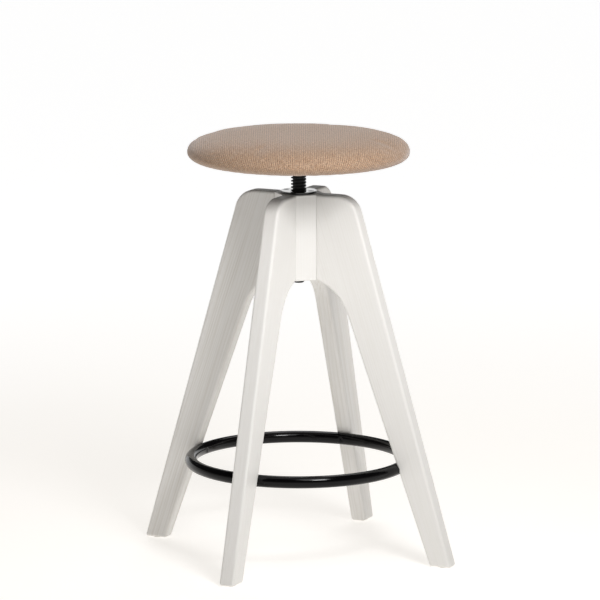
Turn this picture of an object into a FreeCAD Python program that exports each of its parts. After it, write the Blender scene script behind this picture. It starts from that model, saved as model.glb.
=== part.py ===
import FreeCAD, Part
import os
from math import cos, pi, radians, sin, tan

# Adjustable swivel stool: four plank legs dowelled to an eight-sided wooden hub, a round tube
# footrest screwed into notches in the legs, and a padded round seat on a trapezoidal screw that
# turns in a steel nut let into the top of the hub. Millimetres, +Z up, the origin on the floor
# under the screw, the legs along +X, +Y, -X and -Y.

Vec = FreeCAD.Vector
AXIS = Vec(0, 0, 1)
ORIGIN = Vec(0, 0, 0)

# ---- hub and legs ----
HUB_BOTTOM = 440.0
HUB_TOP = 575.3
HUB_FACE = 35.7  # axis to a face that carries a leg
LEG_THICKNESS = 25.0
LEG_FOOT_OUTER = 266.0  # radius of the outer edge, produced to the floor
LEG_FOOT_INNER = 230.4  # radius of the inner edge, produced to the floor
OUTER_SLOPE = 0.294  # inward lean of the outer edge, mm per mm of height
INNER_SLOPE = 0.366  # inward lean of the inner edge
SHOULDER_RADIUS = 35.0  # round at the top outer corner of a leg
ARCH_CORNER = (74.4, 426.3)  # where the arch's two tangents meet: radius, height
ARCH_RADIUS = 85.0
FOOT_CORNER_RADIUS = 3.0
LEG_EDGE_RADIUS = 4.5  # long edges of the legs
HUB_EDGE_RADIUS = 1.5
JOINT_CHAMFER = 1.0  # upright edges where a leg meets the hub
LEG_ANGLES = {"leg_right": 0, "leg_rear": 90, "leg_left": 180, "leg_front": 270}
QUARTERS = (0.0, 90.0, 180.0, 270.0)

# ---- dowels and glides ----
DOWEL_RADIUS = 5.0
DOWEL_IN_HUB = 15.0
DOWEL_IN_LEG = 24.0
DOWEL_HEIGHTS = (462.0, 496.0, 530.0)
DOWEL_CHAMFER = 1.0
SPARE_DEPTH = 0.5  # room left at the end of a hole
FIT_GAP = 0.1  # radial gap between pieces fitted together
GLIDE_THICKNESS = 1.2
GLIDE_RADIUS = 8.0
GLIDE_PIN_RADIUS = 1.5
GLIDE_PIN_LENGTH = 14.0

# ---- screw and nut: trapezoidal 24 x 5 ----
PITCH = 5.0
CREST_RADIUS = 12.0
ROOT_RADIUS = 9.25
RIDGE_AT_CREST = 1.83  # axial width of the ridge at its crest
RIDGE_AT_ROOT = 3.30
RIDGE_SUNK = 0.2  # how far the ridge starts inside the rod
SHANK_RADIUS = 12.25  # plain top of the spindle
THREAD_START = 100.0  # angle that keeps the thread's start clear of the round faces' seams
NUT_BORE_RADIUS = 9.5
NUT_GROOVE_RADIUS = 12.25
THREAD_PLAY = 0.1  # axial gap on each flank
NUT_RADIUS = 16.0
NUT_LENGTH = 25.0

# ---- top plate ----
PLATE_RADIUS = 28.5
PLATE_THICKNESS = 3.0
PLATE_HOLE_RADIUS = 12.6
PLATE_EDGE_RADIUS = 0.8
PLATE_SCREW_CIRCLE = 21.2

# ---- spindle's lower end ----
SPINDLE_BOTTOM = 432.5
JOURNAL_RADIUS = 9.0
BUSH_BOTTOM = 444.3
BUSH_LENGTH = 32.0
BUSH_RADIUS = 14.95
HUB_BORE_RADIUS = 15.0
TURNED_CHAMFER = 1.5  # chamfers of the journal's end, the bush and the collar
RUNNING_GAP = 0.05
END_GAP = 0.3
CLIP_THICKNESS = 1.2
CLIP_INNER_RADIUS = 8.5
CLIP_OUTER_RADIUS = 12.0
CLIP_OPENING = 4.0
CLIP_LUG_RADIUS = 1.8

# ---- footrest ----
RING_RADIUS = 169.7
RING_HEIGHT = 149.2
TUBE_RADIUS = 9.5
TUBE_WALL = 1.5

# ---- seat ----
SEAT_RADIUS = 173.8
SEAT_UNDERSIDE = 623.0
SEAT_RIM_HEIGHT = 638.7  # height at which the seat is widest
SEAT_CROWN = 669.0
CROWN_POWER_R = 4.65  # powers of the crown's rounded-square curve
CROWN_POWER_Z = 2.24
CROWN_STEPS = 18
UNDERSIDE_FLAT_RADIUS = 142.0
COVER_THICKNESS = 1.2
FOAM_GAP = 0.1
HEM_RADIUS = 128.0
BOARD_RADIUS = 158.0
BOARD_THICKNESS = 12.0
BOARD_BEVEL_WIDTH = 17.0
BOARD_BEVEL_HEIGHT = 3.6
FOAM_WRAP = 6.0  # how far the foam comes down round the board
DUST_THICKNESS = 0.8
DUST_RADIUS = 137.0
DUST_STEP = 2.0  # radial width of its step down over the hem

# ---- seat mounting ----
FLANGE_RADIUS = 55.0
FLANGE_THICKNESS = 4.0
FLANGE_EDGE_RADIUS = 0.8
FLANGE_ANGLES = (45.0, 135.0, 225.0, 315.0)
COLLAR_RADIUS = 17.0
SHANK_SHOWS = 1.5  # plain shank between thread and collar
COLLAR_HEIGHT = 8.0
FLANGE_SCREW_CIRCLE = 40.0
FLANGE_SCREW_RADIUS = 3.0
FLANGE_SCREW_LENGTH = 14.0
FLANGE_HOLE_RADIUS = 3.3
FLANGE_HEAD_RADIUS = 6.0
FLANGE_HEAD_HEIGHT = 3.3
FLANGE_HEAD_DOME = 2.7
SOCKET_RADIUS = 2.3
SOCKET_DEPTH = 2.0
TEE_BARREL_RADIUS = 4.0
TEE_LENGTH = 9.0
TEE_HEAD_RADIUS = 9.5
TEE_HEAD_THICKNESS = 1.3
STAPLE_CIRCLE = 132.5
STAPLE_COUNT = 24
STAPLE_WIDTH = 10.0
STAPLE_WIRE = 0.8
STAPLE_DEPTH = 6.0

# ---- wood screws: head radius, shank radius, length ----
PLATE_SCREW = (4.6, 2.2, 30.0)
RING_SCREW = (4.8, 2.4, 46.0)

PLATE_TOP = HUB_TOP + PLATE_THICKNESS
BUSH_TOP = BUSH_BOTTOM + BUSH_LENGTH
JOURNAL_TOP = BUSH_TOP + END_GAP
BOARD_BOTTOM = SEAT_UNDERSIDE + COVER_THICKNESS
BOARD_TOP = BOARD_BOTTOM + BOARD_THICKNESS
FLANGE_TOP = BOARD_BOTTOM - DUST_THICKNESS
FLANGE_BOTTOM = FLANGE_TOP - FLANGE_THICKNESS
COLLAR_BOTTOM = FLANGE_BOTTOM - COLLAR_HEIGHT
THREAD_BASE = JOURNAL_TOP - PITCH  # where the helix of spindle and nut is counted from
NEAR = 0.01  # tolerance for picking edges by their position


# ---------------------------------------------------------------- helpers


def tube(radius, bottom, top, hole=0.0):
    """Upright cylinder about the screw axis, with an optional hole through it."""
    solid = Part.makeCylinder(radius, top - bottom, Vec(0, 0, bottom))
    if hole:
        solid = solid.cut(Part.makeCylinder(hole, top - bottom, Vec(0, 0, bottom)))
    return solid


def turned(shape, angle):
    """A copy of the shape turned about the screw axis by an angle in degrees."""
    copy = shape.copy()
    copy.rotate(ORIGIN, AXIS, angle)
    return copy


def all_round(shape, angles=QUARTERS):
    """The shape repeated about the screw axis, as one group of separate solids."""
    return Part.makeCompound([turned(shape, angle) for angle in angles])


def revolved(corners):
    """Solid of revolution about Z from (radius, height) corners."""
    wire = Part.makePolygon([Vec(r, 0, z) for r, z in corners + corners[:1]])
    return Part.Face(wire).revolve(ORIGIN, AXIS, 360)


def rounded_outline(corners):
    """Closed wire in the XZ plane through (x, z, radius) corners; a radius of 0 leaves one sharp."""
    edges = []
    ends = []
    count = len(corners)
    for i, (x, z, radius) in enumerate(corners):
        here = Vec(x, 0, z)
        before = Vec(corners[i - 1][0], 0, corners[i - 1][1]) - here
        after = Vec(corners[(i + 1) % count][0], 0, corners[(i + 1) % count][1]) - here
        half = before.getAngle(after) / 2
        before.normalize()
        after.normalize()
        middle = (before + after).normalize()
        first = here + before * (radius / tan(half))
        last = here + after * (radius / tan(half))
        crown = here + middle * (radius / sin(half) - radius)
        ends.append((first, last))
        if radius:
            edges.append(Part.Arc(first, crown, last).toShape())
    for i in range(count):
        edges.append(Part.makeLine(ends[i][1], ends[(i + 1) % count][0]))
    return Part.Wire(Part.__sortEdges__(edges))


def cross_recess(width, depth):
    """Driver recess: two crossed slots sunk below Z = 0."""
    slot = Part.makeBox(width, width / 5, depth, Vec(-width / 2, -width / 10, -depth))
    across = slot.copy()
    across.rotate(ORIGIN, AXIS, 90)
    return slot.fuse(across)


def wood_screw_body(head_radius, shank_radius, length, gap=0.0):
    """Countersunk screw pointing down -Z with its head's flat at Z = 0, grown by a gap."""
    head = head_radius + gap
    shank = shank_radius + gap
    cone = head_radius - shank_radius
    tip = -length + 2 * shank_radius
    return revolved([(0, 0), (head, 0), (shank, -cone), (shank, tip), (0, tip - shank)])


def wood_screw(size):
    """Countersunk wood screw with a cross recess."""
    return wood_screw_body(*size).cut(cross_recess(size[0], size[0] / 2.2))


def placed_upright(shape, radius, height):
    """Moves a screw that points down to a circle about the axis and a height."""
    copy = shape.copy()
    copy.translate(Vec(radius, 0, height))
    return copy


def placed_outward(shape, radius, height):
    """Lays a screw that points down along +X, with its head at the given radius."""
    copy = shape.copy()
    copy.rotate(ORIGIN, Vec(0, 1, 0), -90)
    copy.translate(Vec(radius, 0, height))
    return copy


def helical_ridge(foot, crest, bottom, turns):
    """Right-hand helical ridge of trapezoidal section; foot and crest are (radius, width) pairs."""
    corners = []
    for radius, width, side in ((*foot, -1), (*crest, -1), (*crest, 1), (*foot, 1)):
        corners.append(Vec(radius, 0, bottom + side * width / 2))
    helices = []
    for corner in corners:
        helix = Part.makeHelix(PITCH, PITCH, corner.x).Edges[0]
        helix.translate(Vec(0, 0, corner.z))
        helices.append(helix)
    faces = []
    for i in range(4):
        strip = Part.makeRuledSurface(helices[i - 1], helices[i])
        for turn in range(turns):
            copy = strip.copy()
            copy.translate(Vec(0, 0, turn * PITCH))
            faces.append(copy)
    start = Part.Face(Part.makePolygon(corners + corners[:1]))
    finish = start.copy()
    finish.translate(Vec(0, 0, turns * PITCH))
    shell = Part.makeShell(faces + [start, finish])
    shell.sewShape()
    ridge = Part.Solid(shell)
    if ridge.Volume < 0:
        ridge.reverse()
    return turned(ridge, THREAD_START)


# ---------------------------------------------------------------- wooden frame


def hub_block():
    """Eight-sided block: wide bore for the guide bush, counterbore for the nut, dowel and screw holes."""
    half = LEG_THICKNESS / 2
    corners = []
    for quarter in range(4):
        for x, y in ((HUB_FACE, -half), (HUB_FACE, half)):
            corner = Vec(x, y, HUB_BOTTOM)
            corner = FreeCAD.Rotation(AXIS, 90 * quarter).multVec(corner)
            corners.append(corner)
    face = Part.Face(Part.makePolygon(corners + corners[:1]))
    block = face.extrude(Vec(0, 0, HUB_TOP - HUB_BOTTOM))
    block = block.makeFillet(HUB_EDGE_RADIUS, block.Edges)
    nut_seat = HUB_TOP - NUT_LENGTH - SPARE_DEPTH
    cuts = [
        tube(HUB_BORE_RADIUS, HUB_BOTTOM, HUB_TOP),
        tube(NUT_RADIUS + FIT_GAP, nut_seat, HUB_TOP),
        all_round(dowel_holes()),
        all_round(placed_upright(wood_screw_body(*PLATE_SCREW), PLATE_SCREW_CIRCLE, PLATE_TOP)),
    ]
    return block.cut(cuts)


def leg():
    """Tapering plank along +X with an arched inner edge, notched for the footrest."""
    foot = GLIDE_THICKNESS
    outline = rounded_outline(
        [
            (HUB_FACE, HUB_TOP, 0),
            (LEG_FOOT_OUTER - OUTER_SLOPE * HUB_TOP, HUB_TOP, SHOULDER_RADIUS),
            (LEG_FOOT_OUTER - OUTER_SLOPE * foot, foot, FOOT_CORNER_RADIUS),
            (LEG_FOOT_INNER - INNER_SLOPE * foot, foot, FOOT_CORNER_RADIUS),
            (*ARCH_CORNER, ARCH_RADIUS),
            (HUB_FACE, HUB_BOTTOM, 0),
        ]
    )
    plank = Part.Face(outline).extrude(Vec(0, LEG_THICKNESS, 0))
    plank.translate(Vec(0, -LEG_THICKNESS / 2, 0))
    rims = [edge for edge in plank.Edges if abs(edge.CenterOfMass.y) > LEG_THICKNESS / 2 - NEAR]
    long_edges = [edge for edge in rims if edge.CenterOfMass.x > HUB_FACE + NEAR]
    plank = plank.makeFillet(LEG_EDGE_RADIUS, long_edges)
    uprights = [edge for edge in plank.Edges if on_joint_face(edge)]
    plank = plank.makeChamfer(JOINT_CHAMFER, uprights)
    notch = Part.makeTorus(RING_RADIUS, TUBE_RADIUS + FIT_GAP, Vec(0, 0, RING_HEIGHT))
    cuts = [
        notch,
        dowel_holes(),
        placed_outward(wood_screw_body(*RING_SCREW), RING_RADIUS - TUBE_RADIUS, RING_HEIGHT),
        glide_pin(),
    ]
    return plank.cut(cuts)


def on_joint_face(edge):
    """True for the two upright straight edges of a leg's face against the hub."""
    ends = [vertex.Point for vertex in edge.Vertexes]
    upright = len(ends) == 2 and abs(ends[0].z - ends[1].z) > (HUB_TOP - HUB_BOTTOM) / 2
    return upright and all(abs(point.x - HUB_FACE) < NEAR for point in ends)


def dowel_row(spare):
    """The dowels of the leg along +X, made longer by a spare length at each end."""
    length = DOWEL_IN_HUB + DOWEL_IN_LEG + 2 * spare
    start = HUB_FACE - DOWEL_IN_HUB - spare
    along = Vec(1, 0, 0)
    return [
        Part.makeCylinder(DOWEL_RADIUS, length, Vec(start, 0, z), along) for z in DOWEL_HEIGHTS
    ]


def dowel_holes():
    """Holes for one leg's dowels."""
    return Part.makeCompound(dowel_row(SPARE_DEPTH))


def leg_dowels():
    """All the dowels, with chamfered ends."""
    row = []
    for dowel in dowel_row(0):
        ends = [dowel.Edges[0], dowel.Edges[2]]
        row.append(dowel.makeChamfer(DOWEL_CHAMFER, ends))
    return all_round(Part.makeCompound(row))


def glide_centre():
    """Radius of the middle of a foot."""
    return (LEG_FOOT_OUTER + LEG_FOOT_INNER) / 2


def glide_pin():
    """The pin of the glide under the leg along +X."""
    top = GLIDE_THICKNESS + GLIDE_PIN_LENGTH
    profile = [
        (0, GLIDE_THICKNESS / 2),
        (GLIDE_PIN_RADIUS, GLIDE_THICKNESS / 2),
        (GLIDE_PIN_RADIUS, top - 2 * GLIDE_PIN_RADIUS),
        (0, top),
    ]
    return placed_upright(revolved(profile), glide_centre(), 0)


def foot_glides():
    """Round nylon glides with a pin, one under each leg."""
    disc = Part.makeCylinder(GLIDE_RADIUS, GLIDE_THICKNESS)
    disc = disc.makeFillet(GLIDE_THICKNESS / 3, [disc.Edges[2]])
    disc.translate(Vec(glide_centre(), 0, 0))
    return all_round(disc.fuse(glide_pin()))


# ---------------------------------------------------------------- footrest


def footrest_ring():
    """Hollow round tube bent to a circle, drilled for one screw at each leg."""
    centre = Vec(0, 0, RING_HEIGHT)
    pipe = Part.makeTorus(RING_RADIUS, TUBE_RADIUS, centre)
    hollow = Part.makeTorus(RING_RADIUS, TUBE_RADIUS - TUBE_WALL, centre)
    screw = wood_screw_body(*RING_SCREW, gap=FIT_GAP)
    screw = placed_outward(screw, RING_RADIUS - TUBE_RADIUS, RING_HEIGHT)
    return pipe.cut([hollow, all_round(screw)])


def footrest_screws():
    """Screws from the inside of the ring into the legs."""
    return all_round(placed_outward(wood_screw(RING_SCREW), RING_RADIUS - TUBE_RADIUS, RING_HEIGHT))


# ---------------------------------------------------------------- nut and plate


def top_plate():
    """Round steel plate on the hub, with a hole for the spindle and four countersinks."""
    plate = tube(PLATE_RADIUS, HUB_TOP, PLATE_TOP)
    plate = plate.makeFillet(PLATE_EDGE_RADIUS, [plate.Edges[0]])
    screw = wood_screw_body(*PLATE_SCREW, gap=FIT_GAP)
    screw = placed_upright(screw, PLATE_SCREW_CIRCLE, PLATE_TOP)
    return plate.cut([tube(PLATE_HOLE_RADIUS, HUB_TOP, PLATE_TOP), all_round(screw)])


def plate_screws():
    """Countersunk screws through the plate into the hub."""
    return all_round(placed_upright(wood_screw(PLATE_SCREW), PLATE_SCREW_CIRCLE, PLATE_TOP))


def ridge_width(radius):
    """Axial width of the thread's ridge at a radius, from its two flanks."""
    lean = (RIDGE_AT_ROOT - RIDGE_AT_CREST) / (CREST_RADIUS - ROOT_RADIUS)
    return RIDGE_AT_ROOT - lean * (radius - ROOT_RADIUS)


def spindle_nut():
    """Steel sleeve under the plate with the internal thread."""
    bottom = HUB_TOP - NUT_LENGTH
    turns_below = int((bottom - THREAD_BASE) / PITCH) - 1
    turns = int(NUT_LENGTH / PITCH) + 3
    inner = NUT_BORE_RADIUS - RIDGE_SUNK
    groove = helical_ridge(
        (inner, ridge_width(inner) + 2 * THREAD_PLAY),
        (NUT_GROOVE_RADIUS, ridge_width(NUT_GROOVE_RADIUS) + 2 * THREAD_PLAY),
        THREAD_BASE + turns_below * PITCH,
        turns,
    )
    return tube(NUT_RADIUS, bottom, HUB_TOP, NUT_BORE_RADIUS).cut(groove)


# ---------------------------------------------------------------- spindle


def spindle():
    """Screwed rod: plain journal with a clip groove below, thread, plain shank in the flange."""
    inner = ROOT_RADIUS - RIDGE_SUNK
    turns = int((COLLAR_BOTTOM - THREAD_BASE) / PITCH) + 1
    ridge = helical_ridge(
        (inner, ridge_width(inner)), (CREST_RADIUS, RIDGE_AT_CREST), THREAD_BASE, turns
    )
    depth = CREST_RADIUS + RIDGE_SUNK - ROOT_RADIUS
    envelope = revolved(
        [
            (0, JOURNAL_TOP),
            (ROOT_RADIUS, JOURNAL_TOP),
            (CREST_RADIUS + RIDGE_SUNK, JOURNAL_TOP + depth),
            (CREST_RADIUS + RIDGE_SUNK, COLLAR_BOTTOM),
            (0, COLLAR_BOTTOM),
        ]
    )
    groove_top = BUSH_BOTTOM - END_GAP + RUNNING_GAP
    groove_bottom = groove_top - CLIP_THICKNESS - 2 * RUNNING_GAP
    shank_bottom = COLLAR_BOTTOM - SHANK_SHOWS
    rod = revolved(
        [
            (0, SPINDLE_BOTTOM),
            (JOURNAL_RADIUS - TURNED_CHAMFER, SPINDLE_BOTTOM),
            (JOURNAL_RADIUS, SPINDLE_BOTTOM + TURNED_CHAMFER),
            (JOURNAL_RADIUS, groove_bottom),
            (CLIP_INNER_RADIUS, groove_bottom),
            (CLIP_INNER_RADIUS, groove_top),
            (JOURNAL_RADIUS, groove_top),
            (JOURNAL_RADIUS, JOURNAL_TOP),
            (ROOT_RADIUS, JOURNAL_TOP),
            (ROOT_RADIUS, shank_bottom - SHANK_RADIUS + ROOT_RADIUS),
            (SHANK_RADIUS, shank_bottom),
            (SHANK_RADIUS, FLANGE_TOP),
            (0, FLANGE_TOP),
        ]
    )
    return rod.fuse(ridge.common(envelope))


def guide_bush():
    """Nylon bush held on the journal, sliding in the hub's bore as the spindle rises."""
    inner = JOURNAL_RADIUS + RUNNING_GAP
    eased = BUSH_RADIUS - TURNED_CHAMFER
    return revolved(
        [
            (inner, BUSH_BOTTOM),
            (eased, BUSH_BOTTOM),
            (BUSH_RADIUS, BUSH_BOTTOM + TURNED_CHAMFER),
            (BUSH_RADIUS, BUSH_TOP - TURNED_CHAMFER),
            (eased, BUSH_TOP),
            (inner, BUSH_TOP),
        ]
    )


def retaining_clip():
    """Open spring ring in the journal's groove, with two drilled lugs."""
    top = BUSH_BOTTOM - END_GAP
    bottom = top - CLIP_THICKNESS
    ring = tube(CLIP_OUTER_RADIUS, bottom, top, CLIP_INNER_RADIUS)
    corner = Vec(0, -CLIP_OPENING / 2, bottom)
    slot = Part.makeBox(2 * CLIP_OUTER_RADIUS, CLIP_OPENING, CLIP_THICKNESS, corner)
    for side in (-1, 1):
        aside = side * (CLIP_OPENING / 2 + CLIP_LUG_RADIUS)
        where = Vec(CLIP_OUTER_RADIUS - CLIP_LUG_RADIUS, aside, bottom)
        ring = ring.fuse(Part.makeCylinder(CLIP_LUG_RADIUS, CLIP_THICKNESS, where))
        ring = ring.cut(Part.makeCylinder(CLIP_LUG_RADIUS / 2, CLIP_THICKNESS, where))
    ring = ring.cut([slot, tube(CLIP_INNER_RADIUS, bottom, top)])
    return ring.removeSplitter()


# ---------------------------------------------------------------- seat mounting


def seat_collar():
    """Collar round the spindle that stiffens the weld and meets the plate at the lowest height."""
    return revolved(
        [
            (SHANK_RADIUS, COLLAR_BOTTOM),
            (COLLAR_RADIUS - TURNED_CHAMFER, COLLAR_BOTTOM),
            (COLLAR_RADIUS, COLLAR_BOTTOM + TURNED_CHAMFER),
            (COLLAR_RADIUS, FLANGE_BOTTOM),
            (SHANK_RADIUS, FLANGE_BOTTOM),
        ]
    )


def seat_flange():
    """Round steel flange at the top of the spindle, screwed to the seat board."""
    flange = tube(FLANGE_RADIUS, FLANGE_BOTTOM, FLANGE_TOP)
    flange = flange.makeFillet(FLANGE_EDGE_RADIUS, [flange.Edges[0], flange.Edges[2]])
    return flange.cut([tube(SHANK_RADIUS, FLANGE_BOTTOM, FLANGE_TOP), flange_screw_holes()])


def flange_screw_holes():
    """Clearance holes for the flange screws, through flange and dust cover."""
    where = Vec(FLANGE_SCREW_CIRCLE, 0, FLANGE_BOTTOM)
    hole = Part.makeCylinder(FLANGE_HOLE_RADIUS, BOARD_BOTTOM - FLANGE_BOTTOM, where)
    return all_round(hole, FLANGE_ANGLES)


def flange_screws():
    """Domed screws up through the flange into the tee nuts."""
    head = Part.makeCylinder(FLANGE_HEAD_RADIUS, FLANGE_HEAD_HEIGHT)
    head = head.makeFillet(FLANGE_HEAD_DOME, [head.Edges[0]])
    corners = []
    for angle in range(0, 361, 60):
        x = SOCKET_RADIUS * cos(radians(angle))
        y = SOCKET_RADIUS * sin(radians(angle))
        corners.append(Vec(x, y, FLANGE_HEAD_HEIGHT))
    socket = Part.Face(Part.makePolygon(corners)).extrude(Vec(0, 0, -SOCKET_DEPTH))
    head = head.cut(socket)
    down = Vec(0, 0, -FLANGE_SCREW_LENGTH)
    shank = Part.makeCylinder(FLANGE_SCREW_RADIUS, FLANGE_SCREW_LENGTH, down)
    screw = head.fuse(shank)
    screw.rotate(ORIGIN, Vec(1, 0, 0), 180)
    screw.translate(Vec(FLANGE_SCREW_CIRCLE, 0, FLANGE_BOTTOM))
    return all_round(screw, FLANGE_ANGLES)


def tee_nuts():
    """Flanged nuts sunk into the top of the board."""
    bore = FLANGE_SCREW_RADIUS + RUNNING_GAP
    head_bottom = BOARD_TOP - TEE_HEAD_THICKNESS
    nut = revolved(
        [
            (bore, BOARD_TOP - TEE_LENGTH),
            (TEE_BARREL_RADIUS, BOARD_TOP - TEE_LENGTH),
            (TEE_BARREL_RADIUS, head_bottom),
            (TEE_HEAD_RADIUS, head_bottom),
            (TEE_HEAD_RADIUS, BOARD_TOP),
            (bore, BOARD_TOP),
        ]
    )
    return all_round(placed_upright(nut, FLANGE_SCREW_CIRCLE, 0), FLANGE_ANGLES)


# ---------------------------------------------------------------- upholstered seat


def crown_edge(inset):
    """Curve from the rim to the middle of the crown, moved inwards by an inset.

    (r / R) ** a + (z / h) ** b = 1, with its points closest together at the rim.
    """
    radius = SEAT_RADIUS - inset
    height = SEAT_CROWN - inset - SEAT_RIM_HEIGHT
    points = []
    for i in range(CROWN_STEPS + 1):
        inward = (i / CROWN_STEPS) ** 2
        z = height * (1 - (1 - inward) ** CROWN_POWER_R) ** (1 / CROWN_POWER_Z)
        points.append(Vec(radius * (1 - inward), 0, SEAT_RIM_HEIGHT + z))
    curve = Part.BSplineCurve()
    curve.interpolate(points)
    return curve.toShape()


def underside_edge(inset, lowest=None):
    """Quarter-ellipse from the flat underside out to the rim, moved inwards by an inset."""
    across = SEAT_RADIUS - inset - UNDERSIDE_FLAT_RADIUS
    down = SEAT_RIM_HEIGHT - SEAT_UNDERSIDE - inset
    centre = Vec(UNDERSIDE_FLAT_RADIUS, 0, SEAT_RIM_HEIGHT)
    ellipse = Part.Ellipse(centre + Vec(across, 0, 0), centre + Vec(0, 0, -down), centre)
    start = ellipse.parameter(centre + Vec(0, 0, -down))
    end = ellipse.parameter(centre + Vec(across, 0, 0))
    if lowest is not None:
        fall = SEAT_RIM_HEIGHT - lowest
        reach = across * (1 - (fall / down) ** 2) ** 0.5
        start = ellipse.parameter(centre + Vec(reach, 0, -fall))
    span = (end - start) % (2 * pi)
    if span > pi:
        start, span = end, 2 * pi - span
    return ellipse.toShape(start, start + span)


def revolved_edges(edges):
    """Solid of revolution about Z from a closed chain of edges in the XZ plane."""
    wire = Part.Wire(Part.__sortEdges__(edges))
    return Part.Face(wire).revolve(ORIGIN, AXIS, 360)


def seat_cover():
    """Fabric skin over foam and board, turned in under the board to a hem."""
    inside = COVER_THICKNESS
    outer_start = Vec(UNDERSIDE_FLAT_RADIUS, 0, SEAT_UNDERSIDE)
    inner_start = Vec(UNDERSIDE_FLAT_RADIUS, 0, BOARD_BOTTOM)
    hem_low = Vec(HEM_RADIUS, 0, SEAT_UNDERSIDE)
    hem_high = Vec(HEM_RADIUS, 0, BOARD_BOTTOM)
    edges = [
        crown_edge(0),
        underside_edge(0),
        Part.makeLine(outer_start, hem_low),
        Part.makeLine(hem_low, hem_high),
        Part.makeLine(hem_high, inner_start),
        underside_edge(inside),
        crown_edge(inside),
        Part.makeLine(Vec(0, 0, SEAT_CROWN - inside), Vec(0, 0, SEAT_CROWN)),
    ]
    return revolved_edges(edges)


def seat_foam():
    """Foam pad on the board, wrapped a little way down its edge."""
    inset = COVER_THICKNESS + FOAM_GAP
    lowest = BOARD_TOP - FOAM_WRAP
    side = underside_edge(inset, lowest)
    side_ends = [vertex.Point for vertex in side.Vertexes]
    outer_low = min(side_ends, key=lambda point: point.z)
    rim_low = Vec(BOARD_RADIUS, 0, lowest)
    rim_high = Vec(BOARD_RADIUS, 0, BOARD_TOP)
    middle_low = Vec(0, 0, BOARD_TOP)
    edges = [
        crown_edge(inset),
        side,
        Part.makeLine(outer_low, rim_low),
        Part.makeLine(rim_low, rim_high),
        Part.makeLine(rim_high, middle_low),
        Part.makeLine(middle_low, Vec(0, 0, SEAT_CROWN - inset)),
    ]
    return revolved_edges(edges)


def seat_board():
    """Plywood disc with a bevelled underside edge, bored for the tee nuts."""
    board = revolved(
        [
            (0, BOARD_BOTTOM),
            (BOARD_RADIUS - BOARD_BEVEL_WIDTH, BOARD_BOTTOM),
            (BOARD_RADIUS, BOARD_BOTTOM + BOARD_BEVEL_HEIGHT),
            (BOARD_RADIUS, BOARD_TOP),
            (0, BOARD_TOP),
        ]
    )
    below = Vec(FLANGE_SCREW_CIRCLE, 0, BOARD_BOTTOM)
    barrel = Part.makeCylinder(TEE_BARREL_RADIUS, BOARD_THICKNESS, below)
    above = Vec(FLANGE_SCREW_CIRCLE, 0, BOARD_TOP - TEE_HEAD_THICKNESS)
    sinking = Part.makeCylinder(TEE_HEAD_RADIUS, TEE_HEAD_THICKNESS, above)
    return board.cut(all_round(barrel.fuse(sinking), FLANGE_ANGLES))


def dust_cover():
    """Thin black sheet against the board, stepping down over the hem."""
    step = HEM_RADIUS - DUST_STEP
    sheet = revolved(
        [
            (0, BOARD_BOTTOM - DUST_THICKNESS),
            (step - DUST_THICKNESS, BOARD_BOTTOM - DUST_THICKNESS),
            (HEM_RADIUS - DUST_THICKNESS, SEAT_UNDERSIDE - DUST_THICKNESS),
            (DUST_RADIUS, SEAT_UNDERSIDE - DUST_THICKNESS),
            (DUST_RADIUS, SEAT_UNDERSIDE),
            (HEM_RADIUS, SEAT_UNDERSIDE),
            (step, BOARD_BOTTOM),
            (0, BOARD_BOTTOM),
        ]
    )
    return sheet.cut(flange_screw_holes())


def cover_staples():
    """Wire staples through dust cover and hem into the board, all round."""
    low = SEAT_UNDERSIDE - DUST_THICKNESS - STAPLE_WIRE
    top = low + STAPLE_WIRE + DUST_THICKNESS + COVER_THICKNESS + STAPLE_DEPTH
    half = STAPLE_WIDTH / 2
    crown = Part.makeBox(STAPLE_WIRE, STAPLE_WIDTH, STAPLE_WIRE, Vec(STAPLE_CIRCLE, -half, low))
    staple = crown
    for y in (-half, half - STAPLE_WIRE):
        prong = Part.makeBox(STAPLE_WIRE, STAPLE_WIRE, top - low, Vec(STAPLE_CIRCLE, y, low))
        staple = staple.fuse(prong)
    step = 360 / STAPLE_COUNT
    return all_round(staple.removeSplitter(), [step * i for i in range(STAPLE_COUNT)])


# ---------------------------------------------------------------- all the pieces

PIECES = {
    "hub_block": hub_block,
    "leg_dowels": leg_dowels,
    "foot_glides": foot_glides,
    "footrest_ring": footrest_ring,
    "footrest_screws": footrest_screws,
    "top_plate": top_plate,
    "plate_screws": plate_screws,
    "spindle_nut": spindle_nut,
    "spindle": spindle,
    "guide_bush": guide_bush,
    "retaining_clip": retaining_clip,
    "seat_collar": seat_collar,
    "seat_flange": seat_flange,
    "flange_screws": flange_screws,
    "tee_nuts": tee_nuts,
    "seat_board": seat_board,
    "seat_foam": seat_foam,
    "seat_cover": seat_cover,
    "dust_cover": dust_cover,
    "cover_staples": cover_staples,
}


def main():
    """Builds every piece and writes one STEP file for each."""
    os.makedirs("parts", exist_ok=True)
    shapes = {name: build() for name, build in PIECES.items()}
    plank = leg()
    for name, angle in LEG_ANGLES.items():
        shapes[name] = turned(plank, angle)
    for name, shape in shapes.items():
        shape.exportStep("parts/" + name + ".step")
        solids = len(shape.Solids)
        print(name, "solids", solids, "volume", round(shape.Volume), "valid", shape.isValid())


main()
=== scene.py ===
"""Looks of an adjustable swivel stool: stained plank legs, a black screw and a woven round seat."""

import logging
import math
from dataclasses import dataclass
from enum import Enum
from typing import Any

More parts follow.
